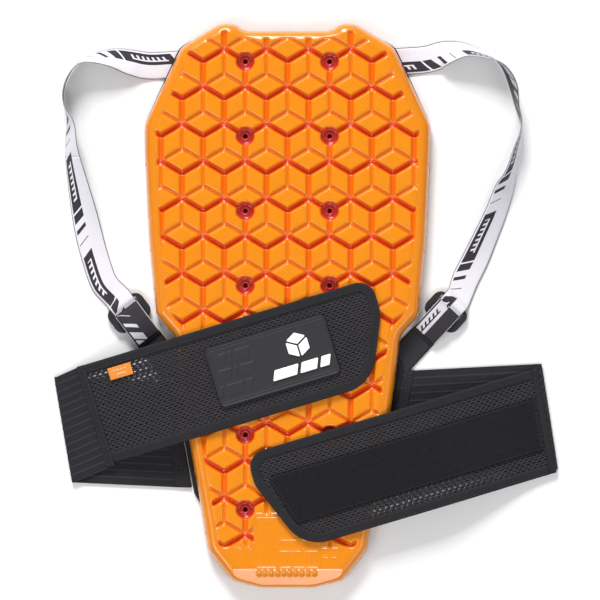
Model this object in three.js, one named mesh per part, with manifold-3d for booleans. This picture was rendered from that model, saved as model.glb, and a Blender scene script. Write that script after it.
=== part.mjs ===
// Motorcycle back protector: a moulded impact plate on a textile backing, a waist belt whose
// two halves fold over the plate, and two adjustable shoulder straps.
//
// Frame: millimetres, the protector lies flat on its backing. +X is to the right, +Y runs up
// the spine and +Z points out of the patterned face. The origin is on the plate's line of
// symmetry, on the flat underside of the backing.

import * as THREE from 'three';
import { mergeVertices } from 'three/addons/utils/BufferGeometryUtils.js';
import Module from 'manifold-3d';

const wasm = await Module();
wasm.setup();

// ---------- driving dimensions ----------

const GAP = 0.3; // clearance between pieces that touch

const BACKING_THICKNESS = 3;
const BINDING_WIDTH = 5; // tape round the backing's edge
const PLATE_THICKNESS = 18;
const PLATE_SHOULDER = 9; // rounding of the plate's upper rim, in plan and in height
const PLATE_BOTTOM = BACKING_THICKNESS + GAP;
const PLATE_TOP = PLATE_BOTTOM + PLATE_THICKNESS;

const VENT_X = 38.8; // two columns of vents, one on each side of the spine
const VENT_PITCH = 68.7;
const VENT_TOP_Y = 224;
const VENT_ROWS = 7;
const VENT_RECESS_RADIUS = 7.8;
const VENT_RECESS_DEPTH = 5;
const VENT_HOLE_RADIUS = 2;

const PAD_WIDTH = 56; // hook-and-loop pads that hold the plate on the backing
const PAD_HEIGHT = 44;
const PAD_THICKNESS = 1.2;
const PAD_Y = [120.7, -85.5];

const WEBBING_WIDTH = 25;
const WEBBING_THICKNESS = 1.4;
const THREADED_THICKNESS = 1.2; // webbing pulled tight through a buckle
const ELASTIC_LOW = 0.3;
const ELASTIC_HIGH = 2.3;
const JOIN_BAND_HIGH = 2.6;

const SWING_X = 124.4; // the shoulder straps swing up about lines at x = -SWING_X and SWING_X
const WING_RISE = 20.3; // climb of a belt wing from its fold to the top of the plate

// Heights of the wing pieces above the wing's drape curve
const WING_LAYERS = {
  hook: [1.7, 2.7],
  elastic: [3, 4.8],
  panel: [3, 5.4],
  seam: [2.9, 5.6],
  binding: [2.8, 5.8],
  top: [5.7, 6.9],
  badge: [5.7, 7.3],
  emblem: [7.6, 8.2],
};

// Place, turn and size of each belt wing. A wing's own frame has its origin on the fold and
// its x axis along the wing.
const LEFT_WING = {
  x: -206.8, y: -110.1, turn: 16.8, sign: 1, rampStart: 12, rampEnd: 100,
  start: 34.3, half: 47, tip: 310, knee: 14, heel: 283, radii: [16, 30, 36],
};
const RIGHT_WING = {
  x: 241.2, y: -105.6, turn: 16.5, sign: -1, rampStart: 12, rampEnd: 130,
  start: 15.5, half: 48.7, tip: 277, knee: 19, heel: 250, radii: [22, 24, 34],
};
const WING_BINDING = 8.7;

// Ladder-lock buckles. A buckle's own frame has its y axis up the shoulder strap.
const LEFT_BUCKLE = { x: -146, y: -7.4, turn: 37.2 };
const RIGHT_BUCKLE = { x: 146, y: -6.4, turn: -42.8 };
const BUCKLE = { halfWidth: 19, halfLength: 13, corner: 8, low: 2.3, high: 5.8, slotHalfWidth: 13.6 };

// ---------- materials ----------

const material = (color, roughness) =>
  new THREE.MeshStandardMaterial({ color, roughness, metalness: 0 });

const orangeFoam = material(0xf39a12, 0.35);
const blackFabric = material(0x202124, 0.9);
const blackElastic = material(0x2a2b2e, 0.85);
const blackMesh = material(0x1d1e20, 0.8);
const blackPile = material(0x17181a, 1);
const bindingTape = material(0x252629, 0.75);
const whiteWebbing = material(0xe4e0e6, 0.7);
const darkWebbing = material(0x303134, 0.8);
const blackPlastic = material(0x1b1b1d, 0.45);
const badgeRubber = material(0x232427, 0.6);
const emblemWhite = material(0xf1f1f1, 0.5);
const tagOrange = material(0xee7a1c, 0.7);

// ---------- geometry helpers ----------

const radians = THREE.MathUtils.degToRad;
const ARC_STEP = radians(15); // coarsest turn between two points of a rounded corner

// A closed solid for cutting and joining, from any closed three.js geometry
function solidOf(geometry) {
  const plain = geometry.clone();
  plain.deleteAttribute('normal');
  plain.deleteAttribute('uv');
  const merged = mergeVertices(plain, 1e-4);
  return new wasm.Manifold(new wasm.Mesh({
    numProp: 3,
    vertProperties: new Float32Array(merged.attributes.position.array),
    triVerts: new Uint32Array(merged.index.array),
  }));
}

function geometryOf(solid) {
  const mesh = solid.getMesh();
  const geometry = new THREE.BufferGeometry();
  geometry.setAttribute('position', new THREE.BufferAttribute(mesh.vertProperties, 3));
  geometry.setIndex(new THREE.BufferAttribute(mesh.triVerts, 1));
  geometry.computeVertexNormals();
  return geometry;
}

// An outline from corners [x, y, radius]; every corner is rounded by an arc
function roundedShape(corners) {
  const points = corners.flatMap(([x, y, radius = 0], i) => {
    const here = new THREE.Vector2(x, y);
    const back = new THREE.Vector2(...corners.at(i - 1).slice(0, 2)).sub(here);
    const on = new THREE.Vector2(...corners[(i + 1) % corners.length].slice(0, 2)).sub(here);
    const halfAngle = Math.acos(back.dot(on) / back.length() / on.length()) / 2;
    const longest = 0.48 * Math.min(back.length(), on.length());
    const cut = Math.min(radius / Math.tan(halfAngle), longest);
    if (cut < 0.1) return [here];
    const centre = back.clone().normalize().add(on.clone().normalize());
    centre.setLength(cut / Math.cos(halfAngle)).add(here);
    const start = back.clone().setLength(cut).add(here).sub(centre);
    const turn = Math.PI - 2 * halfAngle;
    const steps = Math.max(1, Math.ceil(turn / ARC_STEP));
    const direction = back.cross(on) > 0 ? -1 : 1;
    return Array.from({ length: steps + 1 }, (_, k) =>
      start.clone().rotateAround(new THREE.Vector2(), direction * turn * k / steps).add(centre));
  });
  return new THREE.Shape(points);
}

const mirrored = (half) => [...half, ...half.map(([x, y, r]) => [-x, y, r]).reverse()];

function rectangle(x0, y0, x1, y1, r) {
  return roundedShape([[x0, y0, r], [x1, y0, r], [x1, y1, r], [x0, y1, r]]);
}

function prism(shape, low, high) {
  const geometry = new THREE.ExtrudeGeometry(shape, { depth: high - low, bevelEnabled: false });
  return geometry.translate(0, 0, low);
}

function block(x0, y0, z0, x1, y1, z1) {
  const geometry = new THREE.BoxGeometry(x1 - x0, y1 - y0, z1 - z0);
  return geometry.translate((x0 + x1) / 2, (y0 + y1) / 2, (z0 + z1) / 2);
}

// The same outline moved inwards by a distance. Moved points that come too near another stretch
// of the outline, inside a tight corner, are left out.
function inset(shape, distance) {
  const points = shape.getPoints();
  const sign = THREE.ShapeUtils.isClockWise(points) ? 1 : -1;
  const nearest = new THREE.Vector3();
  const edges = points.map((point, i) => {
    const next = points[(i + 1) % points.length];
    return new THREE.Line3(new THREE.Vector3(point.x, point.y), new THREE.Vector3(next.x, next.y));
  });
  const moved = points.map((point, i) => {
    const along = points[(i + 1) % points.length].clone().sub(points.at(i - 1)).normalize();
    return new THREE.Vector3(along.y, -along.x).multiplyScalar(distance * sign).add(edges[i].start);
  });
  const clear = moved.filter((point) => edges.every((edge) =>
    edge.closestPointToPoint(point, true, nearest).distanceTo(point) > 0.93 * Math.abs(distance)));
  return new THREE.Shape(clear.map(({ x, y }) => new THREE.Vector2(x, y)));
}

// A flat strap along a curve. acrossAt(t) is the unit direction of its width, and the curve
// runs along the strap at the share `side` of that width.
function ribbon(curve, acrossAt, { width, thickness, steps, side = 0.5 }) {
  const geometry = new THREE.BoxGeometry(1, 1, 1, steps, 1, 1);
  const position = geometry.attributes.position;
  const vertex = new THREE.Vector3();
  for (let i = 0; i < position.count; i++) {
    vertex.fromBufferAttribute(position, i);
    const t = THREE.MathUtils.clamp(vertex.x + 0.5, 0, 1);
    const across = acrossAt(t);
    const out = new THREE.Vector3().crossVectors(curve.getTangent(t), across).normalize();
    const point = curve.getPoint(t)
      .addScaledVector(across, (vertex.y + 0.5 - side) * width)
      .addScaledVector(out, vertex.z * thickness);
    position.setXYZ(i, point.x, point.y, point.z);
  }
  return geometry;
}

function named(name, geometry, look) {
  const mesh = new THREE.Mesh(geometry, look);
  mesh.name = name;
  return mesh;
}

// ---------- plate and backing ----------

const plateOutline = roundedShape(mirrored([
  [40, 252.4, 14],
  [49, 259.2, 14],
  [62, 259.2, 18],
  [98, 237.5, 14],
  [132, 166, 20],
  [131.6, 142, 30],
  [127.9, 63.5, 60],
  [121.1, -9.2, 12],
  [104.1, -28.5, 14],
  [95.4, -99, 60],
  [80.4, -183, 60],
  [73.4, -226, 16],
  [51.5, -254, 16],
  [24, -260.4, 20],
]));

const backingOutline = roundedShape(mirrored([
  [39.5, 251, 14],
  [48.5, 257.8, 12],
  [61, 257.8, 12],
  [99.5, 238, 14],
  [131.4, 168, 20],
  [131, 142, 30],
  [127, 63.5, 60],
  [120.4, -10, 12],
  [103, -30, 8],
  [101, -45, 4],
  [108, -56, 8],
  [86, -174, 10],
  [78.5, -186, 4],
  [72.5, -226, 14],
  [51, -253, 14],
  [24, -259, 20],
]));

// The plate's upper rim is rounded by the upper half of a bevelled slab
function platePiece() {
  const slab = new THREE.ExtrudeGeometry(plateOutline, {
    depth: 2 * (PLATE_THICKNESS - PLATE_SHOULDER),
    bevelEnabled: true,
    bevelThickness: PLATE_SHOULDER,
    bevelSize: PLATE_SHOULDER,
    bevelOffset: -PLATE_SHOULDER,
    bevelSegments: 3,
  });
  slab.translate(0, 0, PLATE_BOTTOM - (PLATE_THICKNESS - PLATE_SHOULDER));
  const upperHalf = block(-200, -300, PLATE_BOTTOM, 200, 300, PLATE_TOP + 1);
  let plate = solidOf(slab).intersect(solidOf(upperHalf));
  for (let row = 0; row < VENT_ROWS; row++) {
    for (const x of [-VENT_X, VENT_X]) {
      const y = VENT_TOP_Y - row * VENT_PITCH;
      plate = plate
        .subtract(bore(x, y, VENT_RECESS_RADIUS, VENT_RECESS_DEPTH, 20))
        .subtract(bore(x, y, VENT_HOLE_RADIUS, 1.5 * PLATE_THICKNESS, 12));
    }
  }
  for (const y of PAD_Y) {
    const pocket = padShape(PAD_WIDTH + 2 * GAP, PAD_HEIGHT + 2 * GAP, y);
    plate = plate.subtract(solidOf(prism(pocket, 0, PLATE_BOTTOM + PAD_THICKNESS + GAP)));
  }
  return named('impact_plate', geometryOf(plate), orangeFoam);
}

// A round bore down into the plate from its face
function bore(x, y, radius, depth, segments) {
  const cylinder = new THREE.CylinderGeometry(radius, radius, 2 * depth, segments);
  return solidOf(cylinder.rotateX(Math.PI / 2).translate(x, y, PLATE_TOP));
}

function padShape(width, height, y) {
  return rectangle(-width / 2, y - height / 2, width / 2, y + height / 2, 6);
}

function fasteningPads() {
  return PAD_Y.map((y, i) => {
    const shape = padShape(PAD_WIDTH, PAD_HEIGHT, y);
    const geometry = prism(shape, PLATE_BOTTOM, PLATE_BOTTOM + PAD_THICKNESS);
    return named(['plate_hook_pad_upper', 'plate_hook_pad_lower'][i], geometry, blackPile);
  });
}

function backingPieces() {
  const panel = prism(inset(backingOutline, BINDING_WIDTH + GAP), 0, BACKING_THICKNESS);
  const tape = solidOf(prism(backingOutline, 0.2, BACKING_THICKNESS))
    .subtract(solidOf(prism(inset(backingOutline, BINDING_WIDTH), -1, BACKING_THICKNESS + 1)));
  return [
    named('backing_panel', panel, blackFabric),
    named('backing_binding', geometryOf(tape), bindingTape),
  ];
}

// ---------- belt, from the backing to the folds ----------

function beltPieces() {
  const leftBand = roundedShape([[-105.9, -70.5], [-87.9, -168.6], [-102.6, -168.2], [-120.6, -70.2]]);
  const leftElastic = roundedShape([[-120.9, -70.2], [-102.9, -168.2], [-197, -163.8], [-213.6, -66.4]]);
  const rightBand = roundedShape([[107.3, -61.2], [89.6, -160], [99.4, -159.6], [117.1, -60.2]]);
  const rightElastic = roundedShape([[117.4, -60.2], [99.7, -159.6], [247.9, -151.8], [232.8, -54.3]]);
  return [
    named('left_belt_join_band', prism(leftBand, 0, JOIN_BAND_HIGH), blackFabric),
    named('left_belt_elastic', prism(leftElastic, ELASTIC_LOW, ELASTIC_HIGH), blackElastic),
    named('right_belt_join_band', prism(rightBand, 0, JOIN_BAND_HIGH), blackFabric),
    named('right_belt_elastic', prism(rightElastic, ELASTIC_LOW, ELASTIC_HIGH), blackElastic),
  ];
}

// ---------- belt wings, folded over the plate ----------

// The drape curve: level at the fold, climbing to the plate's top, then level again
function drapeHeight(wing, u) {
  return WING_RISE * THREE.MathUtils.smoothstep(u, wing.rampStart, wing.rampEnd);
}

// All that lies between two heights above the drape curve
function drapeSlab(wing, [low, high]) {
  const steps = 8;
  const stations = [-30];
  for (let i = 0; i <= steps; i++) {
    stations.push(THREE.MathUtils.lerp(wing.rampStart, wing.rampEnd, i / steps));
  }
  stations.push(wing.tip + 10);
  const profile = (offset) =>
    stations.map((u) => new THREE.Vector2(wing.sign * u, drapeHeight(wing, u) + offset));
  const section = new THREE.Shape([...profile(low), ...profile(high).reverse()]);
  const slab = new THREE.ExtrudeGeometry(section, { depth: 140, bevelEnabled: false });
  return solidOf(slab.translate(0, 0, -70).rotateX(Math.PI / 2));
}

// A wing piece is its plan outline cut out of the draped slab
function draped(wing, name, outline, layer, look) {
  const plan = outline instanceof THREE.Shape ? solidOf(prism(outline, -5, 60)) : outline;
  return named(name, geometryOf(plan.intersect(drapeSlab(wing, layer))), look);
}

// A wing's outline moved inwards by a distance: straight edges, a rounded tip and a slanting end
function wingOutline(wing, distance, start) {
  const { half, tip, knee, heel, radii, sign } = wing;
  const slope = (tip - heel) / (knee + half);
  const slant = Math.hypot(1, slope);
  const corners = [
    [start, half - distance, 0],
    [tip - distance, half - distance, radii[0] - distance],
    [tip - distance, knee + distance * (slant - 1) / slope, radii[1] - distance],
    [heel + distance * (slope - slant), distance - half, radii[2] - distance],
    [start, distance - half, 0],
  ];
  return roundedShape(corners.map(([u, v, r]) => [sign * u, v, r]));
}

function wingBinding(wing) {
  const outer = solidOf(prism(wingOutline(wing, 0, wing.start), -5, 60));
  return outer.subtract(solidOf(prism(wingOutline(wing, WING_BINDING, wing.start - 20), -6, 61)));
}

function wingGroup(wing) {
  const group = new THREE.Group();
  group.position.set(wing.x, wing.y, 0);
  group.rotation.z = radians(wing.turn);
  return group;
}

function leftWing() {
  const { half, start } = LEFT_WING;
  const panel = wingOutline(LEFT_WING, WING_BINDING + GAP, start);
  const elastic = roundedShape([[6.1, 43.8], [start - 7.6, half], [start - 7.6, -50], [-6.1, -54.2]]);
  const emblem = roundedShape([
    [197, -18, 1], [253, -18, 1], [257, -7, 1], [234, -7, 1], [239.3, 1.5, 1], [239.3, 14.5, 1],
    [228, 21, 1], [216.7, 14.5, 1], [216.7, 1.5, 1], [222, -7, 1], [201, -7, 1],
  ]);
  const seam = rectangle(start - 7.3, -50, start - GAP, half, 1);
  const sewn = (...piece) => draped(LEFT_WING, ...piece);
  const group = wingGroup(LEFT_WING);
  group.add(
    sewn('left_wing_elastic', elastic, WING_LAYERS.elastic, blackElastic),
    sewn('left_wing_seam', seam, WING_LAYERS.seam, bindingTape),
    sewn('left_wing_panel', panel, WING_LAYERS.panel, blackMesh),
    sewn('left_wing_binding', wingBinding(LEFT_WING), WING_LAYERS.binding, bindingTape),
    sewn('left_hook_panel', rectangle(186, -27, 280, 33, 4), WING_LAYERS.hook, blackPile),
    sewn('left_wing_badge', rectangle(144, -28.5, 259.5, 28.5, 5), WING_LAYERS.badge, badgeRubber),
    sewn('left_wing_emblem', emblem, WING_LAYERS.emblem, emblemWhite),
    sewn('left_side_tag', rectangle(54, 26, 76, 37.5, 1), WING_LAYERS.top, tagOrange),
  );
  return group;
}

function rightWing() {
  const { half, start } = RIGHT_WING;
  const panel = wingOutline(RIGHT_WING, WING_BINDING + GAP, start);
  const seam = roundedShape([[3, half], [GAP - start, half], [GAP - start, -half], [-7, -half]]);
  const loop = roundedShape([[-17, 23, 2], [-21, -25.5, 2], [-250, -25.5, 4], [-264, 23, 4]]);
  const sewn = (...piece) => draped(RIGHT_WING, ...piece);
  const group = wingGroup(RIGHT_WING);
  group.add(
    sewn('right_wing_seam', seam, WING_LAYERS.seam, bindingTape),
    sewn('right_wing_panel', panel, WING_LAYERS.panel, blackMesh),
    sewn('right_wing_binding', wingBinding(RIGHT_WING), WING_LAYERS.binding, bindingTape),
    sewn('right_loop_panel', loop, WING_LAYERS.top, blackPile),
  );
  return group;
}

// ---------- shoulder straps ----------

// Each station is the strap's outer edge on the ground and how far the strap leans: at 0 it
// lies flat with the printed face up, at 90 it stands on its outer edge.
const LEFT_STRAP = [
  [-110, 233.8, 0], [-127.1, 233, 0], [-156.5, 236.3, 36], [-170.7, 234.2, 55], [-185.8, 229, 75],
  [-194, 223.1, 85], [-202.2, 211.3, 89], [-206.4, 198.4, 90], [-206.9, 189, 90], [-204.7, 179.7, 88],
  [-203.4, 169.3, 74], [-205.2, 143.5, 60], [-201.7, 104, 36], [-196.4, 68, 10], [-189.3, 39.6, 0],
  [-180, 13.8, 0], [-166.5, -5.2, 0],
];
const RIGHT_STRAP = [
  [110, 237.5, 0], [127, 238.9, 0], [138.7, 242.4, 12], [150.4, 243.2, 35], [159.8, 242.4, 48],
  [169.2, 239.6, 62], [179.8, 234.2, 74], [190.3, 228, 84], [198.3, 218, 98], [204.7, 201.5, 106],
  [210.2, 182.2, 97], [215.7, 166.5, 90], [215, 143.3, 73], [211.4, 122.2, 64], [209.1, 107.6, 45],
  [202, 83, 36], [192.7, 58.3, 25], [184.5, 37.2, 10], [171.6, 11.3, 0], [165.5, -0.5, 0],
];
const STRAP_STEPS = 64;

function strapGeometry(stations, inward, steps) {
  const edge = new THREE.CatmullRomCurve3(
    stations.map(([x, y]) => new THREE.Vector3(x, y, GAP + WEBBING_THICKNESS / 2)));
  const leans = new THREE.CatmullRomCurve3(
    stations.map(([, , lean], i) => new THREE.Vector3(i, lean, 0)));
  const acrossAt = (t) => {
    const along = edge.getTangent(t);
    const lean = radians(leans.getPoint(t).y);
    const level = new THREE.Vector3(-along.y, along.x, 0).normalize().multiplyScalar(inward);
    return level.multiplyScalar(Math.cos(lean)).add(new THREE.Vector3(0, 0, Math.sin(lean)));
  };
  const size = { width: WEBBING_WIDTH, thickness: WEBBING_THICKNESS, steps, side: 0 };
  return ribbon(edge, acrossAt, size);
}

// What lies outside the swing line, and what lies between the two swing lines
function outsideSwing(sign) {
  const far = block(SWING_X + GAP, -300, -10, 400, 300, 60);
  return solidOf(sign > 0 ? far : far.rotateZ(Math.PI));
}

const betweenSwings = () => solidOf(block(-SWING_X + GAP, -300, -10, SWING_X - GAP, 300, 60));

const backingClearance = () => solidOf(prism(inset(backingOutline, -GAP), -10, 60));

// The strap is cut at the swing line and where it reaches the buckle's own piece of strap
function shoulderStrap(side, stations, buckle) {
  const sign = side === 'left' ? -1 : 1;
  const whole = solidOf(strapGeometry(stations, -sign, STRAP_STEPS));
  const reach = solidOf(placedInBuckle(block(-60, -60, -20, 60, 18 + GAP, 60), buckle));
  const strap = whole.intersect(outsideSwing(sign)).subtract(reach);
  const anchor = whole.intersect(betweenSwings()).subtract(backingClearance());
  return [
    named(`${side}_shoulder_strap`, geometryOf(strap), whiteWebbing),
    named(`${side}_strap_anchor`, geometryOf(anchor), whiteWebbing),
  ];
}

function placedInBuckle(geometry, buckle) {
  return geometry.rotateZ(radians(buckle.turn)).translate(buckle.x, buckle.y, 0);
}

// ---------- buckles and the webbing on them ----------

function buckleGeometry() {
  const { halfWidth, halfLength, corner, low, high, slotHalfWidth } = BUCKLE;
  const shape = rectangle(-halfWidth, -halfLength, halfWidth, halfLength, corner);
  shape.holes.push(rectangle(-slotHalfWidth, 1.5, slotHalfWidth, 9.5, 1));
  shape.holes.push(rectangle(-slotHalfWidth, -9.6, slotHalfWidth, -2.5, 1));
  return prism(shape, low, high);
}

// A strap that runs along the buckle's y axis through the heights of a side view
function threaded(points, width, steps) {
  const stations = points.map(([y, z]) => new THREE.Vector3(0, y, z));
  const curve = new THREE.CatmullRomCurve3(stations, false, 'centripetal');
  const across = new THREE.Vector3(1, 0, 0);
  return ribbon(curve, () => across, { width, thickness: THREADED_THICKNESS, steps });
}

// Side views of the straps in a buckle's own frame, as [y, z] along the strap's mid-line
const END_ROUTE = [
  [17.5, 1], [16.2, 2.2], [13.6, 6.7], [11.2, 7.1], [9.2, 6.7], [6.6, 4.6], [4, 4.9], [1.8, 7.2],
  [0, 7.7], [-6, 8.5], [-11, 9.4],
];
const TAIL_ROUTE = [[-14.4, 9.3], [-18, 8.6], [-23, 7.2], [-29, 5.4]];
const LOOP_ROUTE = [
  [-60, 1], [-40, 1], [-16, 1], [-11.5, 1.1], [-8.6, 1.9], [-7.7, 4], [-8.2, 6.6], [-11, 7.6],
  [-15, 7], [-20, 4.4], [-25, 2.9], [-32, 2.7],
];
const ANCHOR_ROUTE = [[-60, 1], [-35, 1], [-14, 1]];

function buckleGroup(side, buckle) {
  const sign = side === 'left' ? -1 : 1;
  const group = new THREE.Group();
  group.position.set(buckle.x, buckle.y, 0);
  group.rotation.z = radians(buckle.turn);
  group.add(
    named(`${side}_buckle`, buckleGeometry(), blackPlastic),
    named(`${side}_strap_end`, threaded(END_ROUTE, WEBBING_WIDTH, 30), whiteWebbing),
  );
  const whole = solidOf(placedInBuckle(threaded(LOOP_ROUTE, WEBBING_WIDTH, 40), buckle));
  const loop = whole.intersect(outsideSwing(sign));
  const end = solidOf(placedInBuckle(threaded(TAIL_ROUTE, WEBBING_WIDTH - 1, 8), buckle));
  const tail = end.intersect(outsideSwing(sign));
  const single = solidOf(placedInBuckle(threaded(ANCHOR_ROUTE, WEBBING_WIDTH, 2), buckle));
  const anchor = single.intersect(betweenSwings()).subtract(backingClearance());
  return [
    group,
    named(`${side}_webbing_loop`, geometryOf(loop), darkWebbing),
    named(`${side}_strap_tail`, geometryOf(tail), whiteWebbing),
    named(`${side}_webbing_anchor`, geometryOf(anchor), darkWebbing),
  ];
}

// ---------- assembly ----------

const protector = new THREE.Group();
protector.add(platePiece(), ...fasteningPads(), ...backingPieces(), ...beltPieces());
protector.add(leftWing(), rightWing());
protector.add(...shoulderStrap('left', LEFT_STRAP, LEFT_BUCKLE));
protector.add(...buckleGroup('left', LEFT_BUCKLE));
protector.add(...shoulderStrap('right', RIGHT_STRAP, RIGHT_BUCKLE));
protector.add(...buckleGroup('right', RIGHT_BUCKLE));

export default protector;
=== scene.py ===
"""Looks of the motorcycle back protector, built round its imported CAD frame.

Lengths in the shape code are millimetres in the CAD's own frame; mesh_object() turns them
into metres. A belt wing's pieces are laid out in the wing's own frame (u along the wing from
its fold, v across it) and lifted by its drape curve.
"""
import contextlib
import math

import bmesh
import bpy
import numpy as np
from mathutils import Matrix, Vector


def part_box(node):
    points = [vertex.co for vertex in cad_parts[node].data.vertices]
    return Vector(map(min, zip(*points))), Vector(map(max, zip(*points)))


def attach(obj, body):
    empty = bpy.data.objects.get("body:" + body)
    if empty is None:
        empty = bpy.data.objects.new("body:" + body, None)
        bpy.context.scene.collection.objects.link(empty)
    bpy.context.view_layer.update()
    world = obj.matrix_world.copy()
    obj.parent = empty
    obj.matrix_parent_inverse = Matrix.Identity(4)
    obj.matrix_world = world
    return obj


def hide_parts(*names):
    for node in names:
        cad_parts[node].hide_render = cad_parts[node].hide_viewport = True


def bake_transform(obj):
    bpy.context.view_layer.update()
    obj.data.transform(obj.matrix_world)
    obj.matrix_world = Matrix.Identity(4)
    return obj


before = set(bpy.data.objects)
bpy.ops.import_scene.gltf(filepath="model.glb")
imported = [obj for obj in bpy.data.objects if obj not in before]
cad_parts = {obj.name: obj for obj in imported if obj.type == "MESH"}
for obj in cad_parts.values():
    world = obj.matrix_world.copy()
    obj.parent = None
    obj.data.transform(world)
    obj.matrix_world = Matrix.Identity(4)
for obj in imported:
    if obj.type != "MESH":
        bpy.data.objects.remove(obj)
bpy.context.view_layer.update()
MM = 0.001

# ---------- sizes shared with the CAD, in mm ----------


def node_box(node):
    """Lowest and highest corners of a CAD node, in mm."""
    low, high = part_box(node)
    return np.array(low) / MM, np.array(high) / MM


PLATE_LOW, PLATE_HIGH = node_box("impact_plate")
PLATE_BOTTOM, PLATE_TOP = PLATE_LOW[2], PLATE_HIGH[2]
BACKING_TOP = node_box("backing_panel")[1][2]
SWING_X = 124.4
WING_RISE = 20.3
WING_BINDING = 8.7
WEBBING_WIDTH = 25

LEFT_WING = dict(
    body="left_wing", x=-206.8, y=-110.1, turn=16.8, sign=1, ramp=(12, 100), lean=0, start=34.3,
    half=47, tip=310, knee=14, heel=283, radii=(16, 30, 36),
)
RIGHT_WING = dict(
    body="right_wing", x=241.2, y=-105.6, turn=16.5, sign=-1, ramp=(12, 130), lean=10, start=13.1,
    half=48.7, tip=277, knee=19, heel=250, radii=(22, 24, 34),
)
BUCKLES = {
    "left": dict(x=-146, y=-7.4, turn=37.2),
    "right": dict(x=146, y=-6.4, turn=-42.8),
}

# Hexagon lattice of the plate: pointy-top hexagons, each split into three rhombi
HEX_WIDTH = 38.8
HEX_ROW = 34.35
VENT_TOP_Y = 224
VENT_ROWS = 7
VENT_RADIUS = 7.7

# Outer edge of each shoulder strap on the ground, and its lean in degrees
LEFT_STRAP = [
    (-98, 234.6, 0), (-110, 233.8, 0), (-127.1, 233, 0), (-141, 234.9, 18), (-156.5, 236.3, 36),
    (-170.7, 234.2, 55), (-185.8, 229, 75), (-194, 223.1, 85), (-202.2, 211.3, 89),
    (-206.4, 198.4, 90), (-206.9, 189, 90), (-204.7, 179.7, 88), (-203.4, 169.3, 74),
    (-205.2, 143.5, 60), (-201.7, 104, 36), (-196.4, 68, 10), (-189.3, 39.6, 0),
    (-180, 13.8, 0), (-166.5, -5.2, 0),
]
RIGHT_STRAP = [
    (98, 236.8, 0), (110, 237.5, 0), (127, 238.9, 0), (138.7, 242.4, 12), (150.4, 243.2, 35),
    (159.8, 242.4, 48), (169.2, 239.6, 62), (179.8, 234.2, 74), (190.3, 228, 84),
    (198.3, 218, 98), (204.7, 201.5, 106), (210.2, 182.2, 97), (215.7, 166.5, 90),
    (215, 143.3, 73), (211.4, 122.2, 64), (209.1, 107.6, 45), (202, 83, 36), (192.7, 58.3, 25),
    (184.5, 37.2, 10), (171.6, 11.3, 0), (165.5, -0.5, 0),
]
# Side views of the webbing at a buckle, [y, z] in the buckle's own frame
END_ROUTE = [(17.5, 1), (16.2, 2.2), (13.6, 6.7), (11.2, 7.1), (9.2, 6.7), (6.6, 4.6), (5.3, 3.9)]
TAIL_ROUTE = [
    (5.3, 4.0), (4, 4.9), (1.8, 7.2), (0, 7.7), (-3, 8.1), (-6, 8.5), (-11, 9.4), (-14.4, 9.3),
    (-18, 8.6), (-23, 7.2), (-29, 5.4),
]
LOOP_ROUTE = [
    (-66, 1.4), (-50, 1), (-40, 1), (-16, 1), (-11.5, 1.1), (-8.6, 1.9), (-7.7, 4), (-8.2, 6.6),
    (-11, 7.6), (-15, 7), (-20, 4.4), (-25, 2.9), (-32, 2.7),
]

# ---------- node materials ----------


class Look:
    """A principled material with short calls for the nodes that feed it."""

    def __init__(self, name, **settings):
        self.material = bpy.data.materials.new(name)
        self.material.use_nodes = True
        self.tree = self.material.node_tree
        self.shader = self.tree.nodes["Principled BSDF"]
        for socket, value in settings.items():
            self.shader.inputs[socket.replace("_", " ")].default_value = value

    def node(self, kind, inputs=(), **settings):
        made = self.tree.nodes.new(kind)
        for key, value in settings.items():
            setattr(made, key, value)
        for key, value in dict(inputs).items():
            self.feed(value, made.inputs[key])
        return made

    def feed(self, value, socket):
        if isinstance(value, bpy.types.NodeSocket):
            self.tree.links.new(value, socket)
        else:
            socket.default_value = value

    def math(self, operation, a, b=0.0, c=0.0, clamp=False):
        inputs = {0: a, 1: b, 2: c}
        return self.node("ShaderNodeMath", inputs, operation=operation, use_clamp=clamp).outputs[0]

    def times(self, a, b, clamp=False):
        return self.math("MULTIPLY", a, b, clamp=clamp)

    def scaled(self, value, by, plus, clamp=False):
        """value * by + plus."""
        return self.math("MULTIPLY_ADD", value, by, plus, clamp)

    def attribute(self, name):
        return self.node("ShaderNodeAttribute", attribute_name=name).outputs["Fac"]

    def place(self, turn=0.0):
        """Object coordinates in millimetres, turned about Z."""
        return self.node("ShaderNodeMapping", {
            "Vector": self.node("ShaderNodeTexCoord").outputs["Object"],
            "Rotation": (0, 0, math.radians(turn)), "Scale": (1 / MM,) * 3}).outputs[0]

    def noise(self, scale, detail=3.0):
        """Noise of about 0 to 1 with features of 1/scale mm."""
        return self.node("ShaderNodeTexNoise", {
            "Vector": self.place(), "Scale": scale, "Detail": detail, "Roughness": 0.6}).outputs["Fac"]

    def mix(self, share, a, b):
        made = self.node("ShaderNodeMix", data_type="RGBA", clamp_factor=True)
        self.feed(share, made.inputs[0])
        self.feed(a, made.inputs[6])
        self.feed(b, made.inputs[7])
        return made.outputs[2]

    def wave(self, value, period):
        """A sine of the value, from 0 to 1."""
        return self.scaled(self.math("SINE", self.times(value, 2 * math.pi / period)), 0.5, 0.5)

    def split(self, vector):
        return self.node("ShaderNodeSeparateXYZ", {0: vector}).outputs

    def made(self, colour, rough, relief, strength, distance):
        """Feeds the shader and returns the material; rough is (value, by, plus), distance in mm."""
        bump = self.node("ShaderNodeBump", {
            "Height": relief, "Strength": strength, "Distance": distance * MM}).outputs[0]
        for socket, value in (("Base Color", colour), ("Roughness", self.scaled(*rough)), ("Normal", bump)):
            self.feed(value, self.shader.inputs[socket])
        return self.material


def rgb(r, g, b):
    """Linear colour from 8-bit sRGB."""
    def linear(c):
        c /= 255
        return c / 12.92 if c <= 0.04045 else ((c + 0.055) / 1.055) ** 2.4
    return (linear(r), linear(g), linear(b), 1)


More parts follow.
